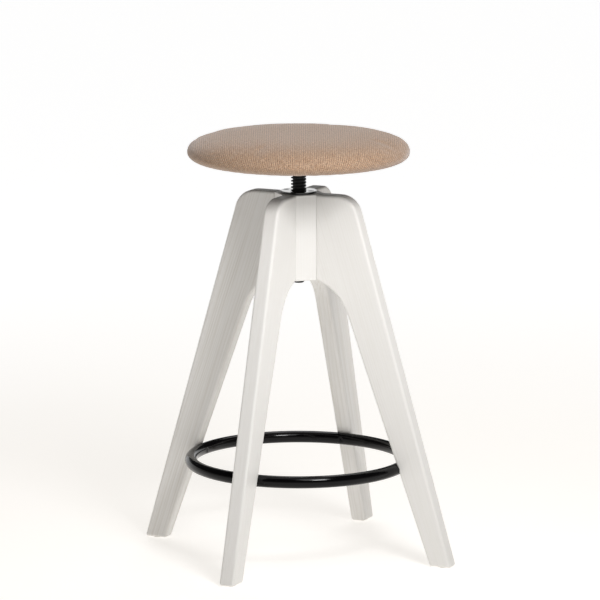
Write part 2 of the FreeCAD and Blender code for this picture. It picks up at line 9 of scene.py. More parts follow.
import bpy
import numpy as np
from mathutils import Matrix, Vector


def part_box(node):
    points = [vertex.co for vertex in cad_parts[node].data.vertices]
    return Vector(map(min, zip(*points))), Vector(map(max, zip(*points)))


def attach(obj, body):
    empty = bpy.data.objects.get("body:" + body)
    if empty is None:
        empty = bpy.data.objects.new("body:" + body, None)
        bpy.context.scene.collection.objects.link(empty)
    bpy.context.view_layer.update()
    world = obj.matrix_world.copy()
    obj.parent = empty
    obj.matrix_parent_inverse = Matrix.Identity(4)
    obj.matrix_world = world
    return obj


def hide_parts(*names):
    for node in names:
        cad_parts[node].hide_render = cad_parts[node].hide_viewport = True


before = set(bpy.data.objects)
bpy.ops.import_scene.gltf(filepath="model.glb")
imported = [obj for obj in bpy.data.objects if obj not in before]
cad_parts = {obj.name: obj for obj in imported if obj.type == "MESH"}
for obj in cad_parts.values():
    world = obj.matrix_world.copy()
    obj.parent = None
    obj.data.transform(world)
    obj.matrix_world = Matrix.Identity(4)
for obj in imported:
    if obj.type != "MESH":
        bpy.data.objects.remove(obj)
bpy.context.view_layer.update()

LOG = logging.getLogger("stool")
MM = 0.001
Colour = tuple[float, float, float]
Array = np.ndarray


# ---------------------------------------------------------------- shader writing


class Signal:
    """What comes out of a socket. Its operators add the Math nodes that an expression needs."""

    def __init__(self, recipe: "Recipe", socket: bpy.types.NodeSocket | None) -> None:
        """Wraps a socket.

        Args:
            recipe: the material's node tree that the socket belongs to.
            socket: the output socket, or None where the node has none.
        """
        self.recipe = recipe
        self.socket = socket

    def __add__(self, other: "Signal | float") -> "Signal":
        """Sum."""
        return self.recipe.maths("ADD", self, other)

    def __radd__(self, other: float) -> "Signal":
        """Sum with a plain number on the left."""
        return self.recipe.maths("ADD", other, self)

    def __sub__(self, other: "Signal | float") -> "Signal":
        """Difference."""
        return self.recipe.maths("SUBTRACT", self, other)

    def __rsub__(self, other: float) -> "Signal":
        """Difference from a plain number."""
        return self.recipe.maths("SUBTRACT", other, self)

    def __mul__(self, other: "Signal | float") -> "Signal":
        """Product."""
        return self.recipe.maths("MULTIPLY", self, other)

    def __rmul__(self, other: float) -> "Signal":
        """Product with a plain number on the left."""
        return self.recipe.maths("MULTIPLY", other, self)

    def __pow__(self, other: float) -> "Signal":
        """Power."""
        return self.recipe.maths("POWER", self, other)

    def __abs__(self) -> "Signal":
        """Size without its sign."""
        return self.recipe.maths("ABSOLUTE", self)

    def sine(self) -> "Signal":
        """Sine of an angle in radians."""
        return self.recipe.maths("SINE", self)

    def root(self) -> "Signal":
        """Square root."""
        return self.recipe.maths("SQRT", self)

    def rising(self, low: float, high: float) -> "Signal":
        """Smooth step.

        Args:
            low: the value at which the step starts from 0.
            high: the value at which it has reached 1.

        Returns:
            A value from 0 to 1.
        """
        settings = {"interpolation_type": "SMOOTHSTEP"}
        inputs = {"Value": self, "From Min": low, "From Max": high}
        return self.recipe.node("ShaderNodeMapRange", settings, inputs)


class Recipe:
    """The node tree of one material. Its node method adds any node."""

    def __init__(self, name: str, tree: bpy.types.NodeTree | None = None) -> None:
        """Starts an empty material, or empties a node tree that is already there.

        Args:
            name: the material's name.
            tree: the tree to fill in place of a new material's.
        """
        if tree is None:
            self.material = bpy.data.materials.new(name)
            self.material.use_nodes = True
            tree = self.material.node_tree
        self.tree = tree
        self.tree.nodes.clear()

    def node(
        self,
        kind: str,
        settings: dict[str, Any] | None = None,
        inputs: dict[str | int, Any] | None = None,
        output: str | int = 0,
    ) -> Signal:
        """Adds a node.

        Args:
            kind: the node's type name.
            settings: properties, set before the inputs.
            inputs: value or signal for each socket, by name or index.
            output: the output that is wanted, by name or index.

        Returns:
            The output as a signal.
        """
        node = self.tree.nodes.new(kind)
        for key, value in (settings or {}).items():
            setattr(node, key, value)
        for key, value in (inputs or {}).items():
            self._feed(node.inputs[key], value)
        return Signal(self, node.outputs[output] if node.outputs else None)

    def _feed(self, socket: bpy.types.NodeSocket, value: Any) -> None:
        """Links a signal to a socket, or sets the socket's own value.

        Args:
            socket: the input socket.
            value: a signal, a number, a colour or a vector.
        """
        if isinstance(value, Signal):
            self.tree.links.new(value.socket, socket)
        elif isinstance(value, tuple) and socket.type == "RGBA":
            socket.default_value = (*value, 1.0)
        else:
            socket.default_value = value

    def maths(self, operation: str, *values: Signal | float) -> Signal:
        """A Math node on one or two values."""
        return self.node("ShaderNodeMath", {"operation": operation}, dict(enumerate(values)))

    def place(self) -> tuple[Signal, Signal, Signal]:
        """Object coordinates in metres, as three numbers."""
        coordinates = self.node("ShaderNodeTexCoord", output="Object")
        return self.split(coordinates)

    def split(self, vector: Signal) -> tuple[Signal, Signal, Signal]:
        """The three numbers of a vector.

        Args:
            vector: the vector.

        Returns:
            Its x, y and z.
        """
        node = self.tree.nodes.new("ShaderNodeSeparateXYZ")
        self._feed(node.inputs[0], vector)
        x, y, z = (Signal(self, socket) for socket in node.outputs)
        return x, y, z

    def join(self, x: Signal | float, y: Signal | float, z: Signal | float) -> Signal:
        """A vector from three numbers."""
        return self.node("ShaderNodeCombineXYZ", None, {0: x, 1: y, 2: z})

    def noise(self, vector: Signal, scale: float = 1.0, detail: float = 2.0) -> Signal:
        """Smooth noise from 0 to 1.

        Args:
            vector: where it is read.
            scale: features per unit of the vector.
            detail: octaves of finer noise.

        Returns:
            The noise.
        """
        inputs = {"Vector": vector, "Scale": scale, "Detail": detail}
        return self.node("ShaderNodeTexNoise", None, inputs)

    def cells(self, vector: Signal, scale: float) -> Signal:
        """Distance to the nearest point of a scattered set.

        Args:
            vector: where it is read.
            scale: points per unit of the vector.

        Returns:
            The distance.
        """
        return self.node("ShaderNodeTexVoronoi", None, {"Vector": vector, "Scale": scale})

    def mix(self, factor: Signal | float, low: Any, high: Any) -> Signal:
        """Mixes two colours.

        Args:
            factor: 0 gives low, 1 gives high.
            low: colour or signal.
            high: colour or signal.

        Returns:
            The mixed colour.
        """
        settings = {"data_type": "RGBA", "blend_type": "MIX"}
        return self.node("ShaderNodeMix", settings, {0: factor, 6: low, 7: high}, output=2)

    def bump(self, height: Signal, depth: float, strength: float = 1.0) -> Signal:
        """A normal from a height.

        Args:
            height: relief from 0 to 1.
            depth: metres from its lowest to its highest point.
            strength: share of the effect.

        Returns:
            The normal.
        """
        inputs = {"Height": height, "Distance": depth, "Strength": strength}
        return self.node("ShaderNodeBump", None, inputs)

    def finish(self, **sockets: Any) -> bpy.types.Material:
        """Ends the recipe with one principled shader.

        Args:
            sockets: values or signals by socket name, with _ for each space.

        Returns:
            The material.
        """
        inputs = {key.replace("_", " "): value for key, value in sockets.items()}
        shader = self.node("ShaderNodeBsdfPrincipled", None, inputs)
        self.node("ShaderNodeOutputMaterial", None, {"Surface": shader})
        return self.material


# ---------------------------------------------------------------- finishes


@dataclass(frozen=True)
class StainedWood:
    """White stain on straight-grained wood under a satin lacquer, for one plank.

    Attributes:
        turn: degrees from +X to the plank, about the screw.
        lean: how far the grain leans outwards, in metres for each metre down.
        seed: moves the pattern, so that no two planks are alike.
        figure: how strongly rings and streaks show, 1 being usual. A high figure also darkens the whole
            plank, which paints shade on the left and rear legs.
    """

    turn: float
    lean: float
    seed: float
    figure: float
    pale: Colour = (0.832, 0.822, 0.803)
    streak: Colour = (0.700, 0.675, 0.630)
    ring_pitch: float = 3.6 * MM
    ring_wander: float = 0.020
    ring_taper: float = 0.012
    plank_middle: float = 0.19
    pith: tuple[float, float] = (-0.045, 0.038)

    def build(self) -> bpy.types.Material:
        """Growth rings round an off-centre pith, streaks, fine fibres and open pores along the plank.

        Returns:
            The material.
        """
        recipe = Recipe(f"stained_wood_{self.turn:.0f}")
        x, y, z = recipe.place()
        turn, lean = math.radians(self.turn), math.atan(self.lean)
        radial = x * math.cos(turn) + y * math.sin(turn)
        aside = y * math.cos(turn) - x * math.sin(turn)
        along = z * math.cos(lean) - radial * math.sin(lean) + self.seed
        across = radial * math.cos(lean) + z * math.sin(lean)

        slow = recipe.noise(recipe.join(across * 14, aside * 14, along * 2.2))
        from_pith = (across - self.plank_middle - self.pith[0]) ** 2 + (aside - self.pith[1]) ** 2
        ring_radius = from_pith.root() + slow * self.ring_wander + along * self.ring_taper
        rings = (ring_radius * (2 * math.pi / self.ring_pitch)).sine() * 0.5 + 0.5
        strength = recipe.noise(recipe.join(across * 60, aside * 60, along * 4 + 9.0))
        late_wood = rings.rising(0.35, 0.95) * strength.rising(0.35, 0.75)
        fibres = recipe.noise(recipe.join(across * 1100, aside * 1100, along * 16), detail=3.0)
        pores = recipe.noise(recipe.join(across * 2200, aside * 2200, along * 90)).rising(0.60, 0.74)
        patches = recipe.noise(recipe.join(across * 9, aside * 9, along * 3 + 4.0))
        streaks = recipe.noise(recipe.join(across * 330, aside * 330, along * 4 + 2.0), detail=3.0)

        figured = late_wood * 0.24 + streaks.rising(0.44, 0.68) * 0.26
        # Painted shade: a high figure darkens the whole plank, which shades the left and rear legs.
        shade = figured * self.figure + fibres.rising(0.35, 0.75) * 0.14 + pores * 0.16
        base = recipe.mix(shade + patches * 0.08, self.pale, self.streak)
        relief = 1.0 - pores * 0.7 - fibres * 0.3 - late_wood * 0.15
        return recipe.finish(
            Base_Color=base,
            Roughness=0.36 + fibres * 0.14 + pores * 0.10,
            Normal=recipe.bump(relief, 0.12 * MM, 0.45),
            Coat_Weight=0.12,
            Coat_Roughness=0.30,
        )


@dataclass(frozen=True)
class GlossCoating:
    """Black gloss coating on steel, with a faint orange peel and rubbed places."""

    name: str = "black_gloss_coating"
    rubbed_above: float = 10.0
    rubbed_fade: float = 3 * MM
    clear_coat: float = 0.0
    coat_index: float = 1.55
    black: Colour = (0.0012, 0.0011, 0.0013)
    dusty: Colour = (0.006, 0.0055, 0.0065)

    def build(self) -> bpy.types.Material:
        """Roughness from slow noise, more of it above the height where shoes rub.

        Returns:
            The material.
        """
        recipe = Recipe(self.name)
        x, y, z = recipe.place()
        point = recipe.join(x, y, z)
        dust = recipe.noise(point, 55.0, 4.0)
        peel = recipe.noise(point, 700.0, 1.0)
        scuffs = recipe.noise(recipe.join(x * 90, y * 90, z * 900), 1.0, 3.0).rising(0.55, 0.75)
        rubbed = z.rising(self.rubbed_above, self.rubbed_above + self.rubbed_fade) * scuffs
        base = recipe.mix(dust * 0.5 + rubbed * 0.4, self.black, self.dusty)
        return recipe.finish(
            Base_Color=base,
            Roughness=0.09 + dust.rising(0.35, 0.8) * 0.07 + rubbed * 0.10,
            Normal=recipe.bump(peel, 0.05 * MM, 0.20),
            Specular_IOR_Level=0.20,
            Coat_Weight=self.clear_coat,
            Coat_Roughness=0.05,
            Coat_IOR=self.coat_index,
        )


@dataclass(frozen=True)
class BlackenedSteel:
    """Blackened and oiled machined steel, brighter where the thread's crests rub."""

    name: str = "blackened_steel"
    crest_from: float = 11.7 * MM
    crest_to: float = 12.0 * MM
    black: Colour = (0.002, 0.002, 0.0022)
    worn: Colour = (0.016, 0.016, 0.017)

    def build(self) -> bpy.types.Material:
        """Turning marks round the axis, and patches of thinner blackening.

        Returns:
            The material.
        """
        recipe = Recipe(self.name)
        x, y, z = recipe.place()
        oil = recipe.noise(recipe.join(x, y, z), 130.0, 3.0)
        marks = recipe.noise(recipe.join(x * 60, y * 60, z * 5200), 1.0, 2.0)
        away = (x**2.0 + y**2.0).root()
        crest = away.rising(self.crest_from, self.crest_to) * oil.rising(0.35, 0.7)
        base = recipe.mix(oil * 0.6 + crest * 0.4, self.black, self.worn)
        return recipe.finish(
            Base_Color=base,
            Metallic=0.10 + crest * 0.35,
            Roughness=0.32 + marks * 0.14 - crest * 0.08,
            Specular_IOR_Level=0.18,
            Normal=recipe.bump(marks, 0.03 * MM, 0.35),
        )


@dataclass(frozen=True)
class ZincPlate:
    """Bright zinc plating with a faint grain and dull patches."""

    name: str = "zinc_plate"
    bright: Colour = (0.62, 0.63, 0.65)
    grey: Colour = (0.47, 0.48, 0.51)

    def build(self) -> bpy.types.Material:
        """Crystal patches from scattered cells over slow noise.

        Returns:
            The material.
        """
        recipe = Recipe(self.name)
        x, y, z = recipe.place()
        point = recipe.join(x, y, z)
        crystals = recipe.cells(point, 1400.0)
        dull = recipe.noise(point, 220.0, 3.0)
        base = recipe.mix(crystals.rising(0.1, 0.7) * 0.6, self.bright, self.grey)
        return recipe.finish(
            Base_Color=base,
            Metallic=0.95,
            Roughness=0.22 + dull.rising(0.3, 0.8) * 0.22,
            Normal=recipe.bump(dull, 0.03 * MM, 0.3),
        )


@dataclass(frozen=True)
class MouldedNylon:
    """Off-white moulded nylon, scuffed near the floor."""

    name: str = "moulded_nylon"
    scuff_height: float = 1.2 * MM
    clean: Colour = (0.74, 0.73, 0.70)
    soiled: Colour = (0.50, 0.49, 0.46)

    def build(self) -> bpy.types.Material:
        """Faint flow marks, with grey scuffs in the lowest millimetre.

        Returns:
            The material.
        """
        recipe = Recipe(self.name)
        x, y, z = recipe.place()
        point = recipe.join(x, y, z)
        flow = recipe.noise(point, 160.0, 3.0)
        grit = recipe.noise(point, 1600.0, 2.0)
        scuffed = (1.0 - z.rising(0.0, self.scuff_height)) * grit.rising(0.4, 0.7)
        base = recipe.mix(flow * 0.4 + scuffed * 0.5, self.clean, self.soiled)
        return recipe.finish(
            Base_Color=base,
            Roughness=0.42 + flow * 0.1 + scuffed * 0.25,
            Normal=recipe.bump(grit, 0.04 * MM, 0.25),
        )


@dataclass(frozen=True)
class Plywood:
    """Birch plywood: thin plies that alternate in direction, with face grain along X."""

    bottom: float
    ply: float = 1.5 * MM
    face_pale: Colour = (0.74, 0.57, 0.38)
    face_dark: Colour = (0.52, 0.36, 0.21)
    end_pale: Colour = (0.52, 0.36, 0.22)
    end_dark: Colour = (0.34, 0.22, 0.12)

    def build(self) -> bpy.types.Material:
        """Every second ply is darker at the edge, because it shows its end grain.

        Returns:
            The material.
        """
        recipe = Recipe("birch_plywood")
        x, y, z = recipe.place()
        wave = ((z - self.bottom) * (math.pi / self.ply)).sine()
        cross_ply = wave.rising(-0.25, 0.25)
        lengthwise = recipe.noise(recipe.join(x * 14, y * 700, z * 700), detail=3.0)
        crosswise = recipe.noise(recipe.join(x * 700, y * 14, z * 700), detail=3.0)
        figure = recipe.noise(recipe.join(x * 5, y * 40, z * 40), detail=3.0)
        long_ply = recipe.mix(lengthwise * 0.7 + figure * 0.3, self.face_pale, self.face_dark)
        short_ply = recipe.mix(crosswise, self.end_pale, self.end_dark)
        return recipe.finish(
            Base_Color=recipe.mix(cross_ply, long_ply, short_ply),
            Roughness=0.62 + lengthwise * 0.15,
            Normal=recipe.bump(lengthwise + crosswise, 0.10 * MM, 0.4),
        )


@dataclass(frozen=True)
class DowelWood:
    """Beech dowels with short dark flecks, lying flat."""

    pale: Colour = (0.66, 0.45, 0.28)
    dark: Colour = (0.40, 0.24, 0.13)

    def build(self) -> bpy.types.Material:
        """Fibres run level, so they are drawn out in X and Y and fine in Z.

        Returns:
            The material.
        """
        recipe = Recipe("beech_dowel")
        x, y, z = recipe.place()
        fibres = recipe.noise(recipe.join(x * 120, y * 120, z * 1500), detail=3.0)
        flecks = recipe.noise(recipe.join(x * 300, y * 300, z * 2200)).rising(0.58, 0.7)
        base = recipe.mix(fibres * 0.7 + flecks * 0.4, self.pale, self.dark)
        return recipe.finish(
            Base_Color=base,
            Roughness=0.55 + fibres * 0.15,
            Normal=recipe.bump(fibres, 0.08 * MM, 0.4),
        )


@dataclass(frozen=True)
class CellFoam:
    """Pale open-cell foam, with painted shade in its cells."""

    painted_cell_shade: Colour = (0.40, 0.33, 0.17)
    pale: Colour = (0.82, 0.75, 0.52)

    def build(self) -> bpy.types.Material:
        """Cells of two sizes, with painted shade darkening their depths.

        Returns:
            The material.
        """
        recipe = Recipe("seat_foam")
        x, y, z = recipe.place()
        point = recipe.join(x, y, z)
        large = recipe.cells(point, 620.0)
        small = recipe.cells(point, 1700.0)
        depth = large * 0.6 + small * 0.4
        # Painted shade: the depths of the cells are mixed towards a dark colour.
        base = recipe.mix(depth.rising(0.1, 0.6), self.painted_cell_shade, self.pale)
        return recipe.finish(
            Base_Color=base,
            Roughness=0.85 + small * 0.1,
            Normal=recipe.bump(depth, 0.5 * MM, 0.7),
        )


@dataclass(frozen=True)
class DustCloth:
    """Black non-woven cloth, point-bonded in a regular grid of small dimples."""

    pitch: float = 1.6 * MM
    dark: Colour = (0.012, 0.012, 0.013)
    light: Colour = (0.050, 0.049, 0.048)
    bonded: Colour = (0.010, 0.010, 0.011)

    def build(self) -> bpy.types.Material:
        """Dimples where two sine waves at right angles both peak, over tangled fibres.

        Returns:
            The material.
        """
        recipe = Recipe("dust_cloth")
        x, y, z = recipe.place()
        turn = 2 * math.pi / self.pitch
        dimples = (((x + y) * turn).sine() * ((x - y) * turn).sine()).rising(0.15, 0.75)
        tangle = recipe.noise(recipe.join(x, y, z), 900.0, 4.0)
        cloud = recipe.noise(recipe.join(x, y, z), 60.0, 3.0)
        base = recipe.mix(tangle * 0.6 + cloud * 0.4, self.dark, self.light)
        return recipe.finish(
            Base_Color=recipe.mix(dimples * 0.5, base, self.bonded),
            Roughness=0.88 - dimples * 0.25,
            Normal=recipe.bump(tangle * 0.5 - dimples, 0.18 * MM, 0.7),
            Sheen_Weight=0.25,
            Sheen_Roughness=0.5,
        )


@dataclass(frozen=True)
class MelangeWeave:
    """Plain weave of a tan weft and a pale mixed warp, read from the cloth's own UV in metres."""

    pitch: float = 1.65 * MM
    tan_light: Colour = (0.730, 0.440, 0.258)
    tan_deep: Colour = (0.290, 0.150, 0.080)
    pale_light: Colour = (0.600, 0.490, 0.385)
    pale_deep: Colour = (0.200, 0.145, 0.105)
    fleck: Colour = (0.130, 0.085, 0.058)
    painted_hollow_shade: Colour = (0.12, 0.075, 0.045)
    sheen: Colour = (0.86, 0.87, 0.90)

    def build(self) -> bpy.types.Material:
        """Warp shows where the sines of both directions have one sign, and weft where they differ.

        Each yarn is round across and bows along its float. Slubs are noise drawn out along the yarn,
        and single dark and pale fibres are finer noise, drawn out along it too. Painted shade darkens the
        hollows between the yarns.

        Returns:
            The material.
        """
        recipe = Recipe("melange_weave")
        coordinates = recipe.node("ShaderNodeUVMap", {"uv_map": SeatCushion.UV})
        u, v, _ = recipe.split(coordinates)
        turn = math.pi / self.pitch
        wave_u, wave_v = (u * turn).sine(), (v * turn).sine()
        warp_up = (wave_u * wave_v).rising(-0.12, 0.12)
        round_u, round_v = abs(wave_u), abs(wave_v)
        warp_height = round_u**0.5 * (0.55 + round_v * 0.45)
        weft_height = round_v**0.5 * (0.55 + round_u * 0.45)
        height = warp_up * warp_height + (1.0 - warp_up) * weft_height

        warp_slub = recipe.noise(recipe.join(u * 560, v * 110, 0.0), detail=2.0)
        weft_slub = recipe.noise(recipe.join(u * 170, v * 560, 7.0), detail=2.0)
        warp_fibre = recipe.noise(recipe.join(u * 2200, v * 550, 3.0), detail=2.0)
        weft_fibre = recipe.noise(recipe.join(u * 550, v * 2200, 5.0), detail=2.0)
        ribs = wave_u * 0.060
        pale_depth = (warp_slub * 0.65 + warp_fibre * 0.35 + ribs).rising(0.31, 0.68)
        tan_depth = (weft_slub * 0.65 + weft_fibre * 0.35 + ribs).rising(0.31, 0.70)
        pale = recipe.mix(pale_depth, self.pale_light, self.pale_deep)
        tan = recipe.mix(tan_depth, self.tan_light, self.tan_deep)
        specks = recipe.noise(recipe.join(u, v, 11.0), 600.0, 1.0).rising(0.44, 0.60)
        yarns = recipe.mix(specks * 0.36, recipe.mix(warp_up, tan, pale), self.fleck)
        # Painted shade: the hollows between the yarns are mixed towards a dark brown.
        hollows = 1.0 - height.rising(0.15, 0.75)
        base = recipe.mix(hollows * 0.55, yarns, self.painted_hollow_shade)
        relief = height + (warp_fibre + weft_fibre) * 0.12
        return recipe.finish(
            Base_Color=base,
            Roughness=0.80 + hollows * 0.12,
            Normal=recipe.bump(relief, 0.35 * MM, 0.6),
            Sheen_Weight=0.48,
            Sheen_Roughness=0.42,
            Sheen_Tint=self.sheen,
            Specular_IOR_Level=0.25,
        )


# ---------------------------------------------------------------- surfaces


def make_piece(name: str, points: Array, faces: list[list[int]] | Array) -> bpy.types.Object:
    """A smooth mesh object at the origin.

    Args:
        name: the piece's name.
        points: (n, 3) positions in metres.
        faces: vertex numbers of each face, anticlockwise from outside.

    Returns:
        The object, linked to the scene.
    """
    mesh = bpy.data.meshes.new(name)
    mesh.from_pydata(points.tolist(), [], np.asarray(faces).tolist() if isinstance(faces, Array) else faces)
    mesh.polygons.foreach_set("use_smooth", np.ones(len(mesh.polygons), dtype=bool))
    mesh.update()
    piece = bpy.data.objects.new(name, mesh)
    bpy.context.scene.collection.objects.link(piece)
    return piece


def dress(piece: bpy.types.Object, material: bpy.types.Material) -> None:
    """Puts one material in every slot of a piece.

    Args:
        piece: a new piece or a CAD node.
        material: the finish.
    """
    if not piece.data.materials:
        piece.data.materials.append(material)
    for slot in piece.material_slots:
        slot.material = material


def dress_nodes(material: bpy.types.Material, *names: str) -> None:
    """Puts one material on CAD nodes and reports them.

    Args:
        material: the finish.
        names: the nodes.
    """
    for name in names:
        dress(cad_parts[name], material)
        LOG.info("%s: %s", name, material.name)


def lathe(profile: Array, segments: int) -> tuple[Array, list[list[int]]]:
    """Surface of revolution: (t, angle) -> (r(t) cos angle, r(t) sin angle, z(t)).

    The profile starts and ends on the axis, where each end becomes one closing vertex.

    Args:
        profile: (n, 2) radius and height, from the top pole round to the lower pole.
        segments: steps round the axis.

    Returns:
        The points and the faces.
    """
    angle = np.linspace(0, 2 * np.pi, segments, endpoint=False)
    rings = profile[1:-1]
    ring_x = rings[:, :1] * np.cos(angle)
    ring_y = rings[:, :1] * np.sin(angle)
    ring_z = np.repeat(rings[:, 1:], segments, axis=1)
    body = np.stack([ring_x, ring_y, ring_z], axis=-1).reshape(-1, 3)
    poles = np.array([[0, 0, profile[0, 1]], [0, 0, profile[-1, 1]]])
    here = np.arange(segments)
    after = (here + 1) % segments
    row = (np.arange(len(rings) - 1) * segments)[:, None]
    quads = np.stack([row + here, row + segments + here, row + segments + after, row + after], axis=-1)
    last = (len(rings) - 1) * segments
    top, low = len(body), len(body) + 1
    cap = np.stack([np.full(segments, top), here, after], axis=-1)
    base = np.stack([np.full(segments, low), last + after, last + here], axis=-1)
    faces = quads.reshape(-1, 4).tolist() + cap.tolist() + base.tolist()
    return np.vstack([body, poles]), faces


def round_grid(count: int) -> tuple[Array, Array, Array]:
    """A square grid drawn on a disc, so that a round cloth has no pole.

    A point (a, b) of the square goes to (a sqrt(1 - b b / 2), b sqrt(1 - a a / 2)).

    Args:
        count: faces along one side.

    Returns:
        Share of the way to the rim and angle of each point, and the faces.
    """
    side = np.linspace(-1, 1, count + 1)
    a, b = (grid.ravel() for grid in np.meshgrid(side, side, indexing="ij"))
    x = a * np.sqrt(1 - b * b / 2)
    y = b * np.sqrt(1 - a * a / 2)
    row, column = (grid.ravel() for grid in np.meshgrid(np.arange(count), np.arange(count), indexing="ij"))
    corner = row * (count + 1) + column
    faces = np.stack([corner, corner + count + 1, corner + count + 2, corner + 1], axis=-1)
    return np.hypot(x, y), np.arctan2(y, x), faces


# ---------------------------------------------------------------- wooden frame


class Quarter(Enum):
    """The four legs, the degrees from +X to each and the strength of its wood's figure; the high figure of
    the left and rear legs paints shade on them.
    """

    RIGHT = ("leg_right", 0.0, 0.55)
    # Painted shade: the high figure of the rear and left legs darkens them.
    REAR = ("leg_rear", 90.0, 1.9)
    LEFT = ("leg_left", 180.0, 1.9)
    FRONT = ("leg_front", 270.0, 0.4)


@dataclass
class WoodenFrame:
    """Hub, four legs, their dowels and the glides."""

    leg_lean: float = 0.332
    hub_seed: float = 9.3

    def dress(self) -> None:
        """Gives every plank its own grain, along its own lean."""
        for number, quarter in enumerate(Quarter):
            node, turn, figure = quarter.value
            wood = StainedWood(turn, self.leg_lean, seed=1.7 * number, figure=figure)
            dress_nodes(wood.build(), node)
        hub = StainedWood(turn=45.0, lean=0.0, seed=self.hub_seed, figure=0.3)
        dress_nodes(hub.build(), "hub_block")
        dress_nodes(DowelWood().build(), "leg_dowels")
        dress_nodes(MouldedNylon().build(), "foot_glides")


@dataclass
class Footrest:
    """Tube ring and the screws that hold it."""

    rub_depth: float = 4.0 * MM

    def dress(self, steel: bpy.types.Material) -> None:
        """Coats the ring, with rubbed places on its upper side.

        Args:
            steel: finish of the screws.
        """
        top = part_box("footrest_ring")[1].z
        coating = GlossCoating("ring_gloss_coating", rubbed_above=top - self.rub_depth)
        dress_nodes(coating.build(), "footrest_ring")
        dress_nodes(steel, "footrest_screws")


@dataclass
class ScrewColumn:
    """Plate, nut and screw, with the bush and clip below and the flange above."""

    def dress(self, steel: bpy.types.Material, zinc: bpy.types.Material) -> None:
        """Dresses the CAD nodes of the column.

        Args:
            steel: finish of the threaded pieces.
            zinc: finish of the plated fasteners.
        """
        coating = GlossCoating(clear_coat=1.0).build()
        dress_nodes(coating, "top_plate", "seat_flange")
        dress_nodes(steel, "spindle", "spindle_nut", "seat_collar", "plate_screws")
        dress_nodes(MouldedNylon("bush_nylon").build(), "guide_bush")
        dress_nodes(zinc, "retaining_clip", "flange_screws", "tee_nuts")


# ---------------------------------------------------------------- upholstered seat


@dataclass
class SeatShape:
    """Outline of the seat, as a curve from the middle of the crown out and round to the hem."""

    radius: float
    crown: float
    underside: float
    rim_height: float = 638.7 * MM
    flat_radius: float = 142.0 * MM
    hem_radius: float = 128.0 * MM
    power_out: float = 4.65
    power_up: float = 2.24
    steps: int = 1500

    def curve(self, inset: float) -> Array:
        """The outline moved inwards, with the flat underside left at its height.

        The crown is (r / R) ** a + (z / h) ** b = 1, and below the rim a quarter of an ellipse
        comes down to the flat.

        Args:
            inset: metres inwards.

        Returns:
            (n, 3) radius, height and distance along the curve from the middle.
        """
        rim = self.radius - inset
        rise = self.crown - inset - self.rim_height
        out = np.sin(np.linspace(0, np.pi / 2, self.steps)) ** 0.5
        up = (1 - out**self.power_out) ** (1 / self.power_up)
        crown = np.stack([rim * out, self.rim_height + rise * up], axis=-1)
        turn = np.linspace(0, np.pi / 2, self.steps)[1:]
        fall = self.rim_height - self.underside
        side_r = self.flat_radius + (rim - self.flat_radius) * np.cos(turn)
        side = np.stack([side_r, self.rim_height - fall * np.sin(turn)], axis=-1)
        flat_r = np.linspace(self.flat_radius, self.hem_radius, self.steps // 10)[1:]
        flat = np.stack([flat_r, np.full_like(flat_r, self.underside)], axis=-1)
        line = np.vstack([crown, side, flat])
        gaps = np.linalg.norm(np.diff(line, axis=0), axis=1)
        along = np.concatenate([[0.0], np.cumsum(gaps)])
        return np.column_stack([line, along])


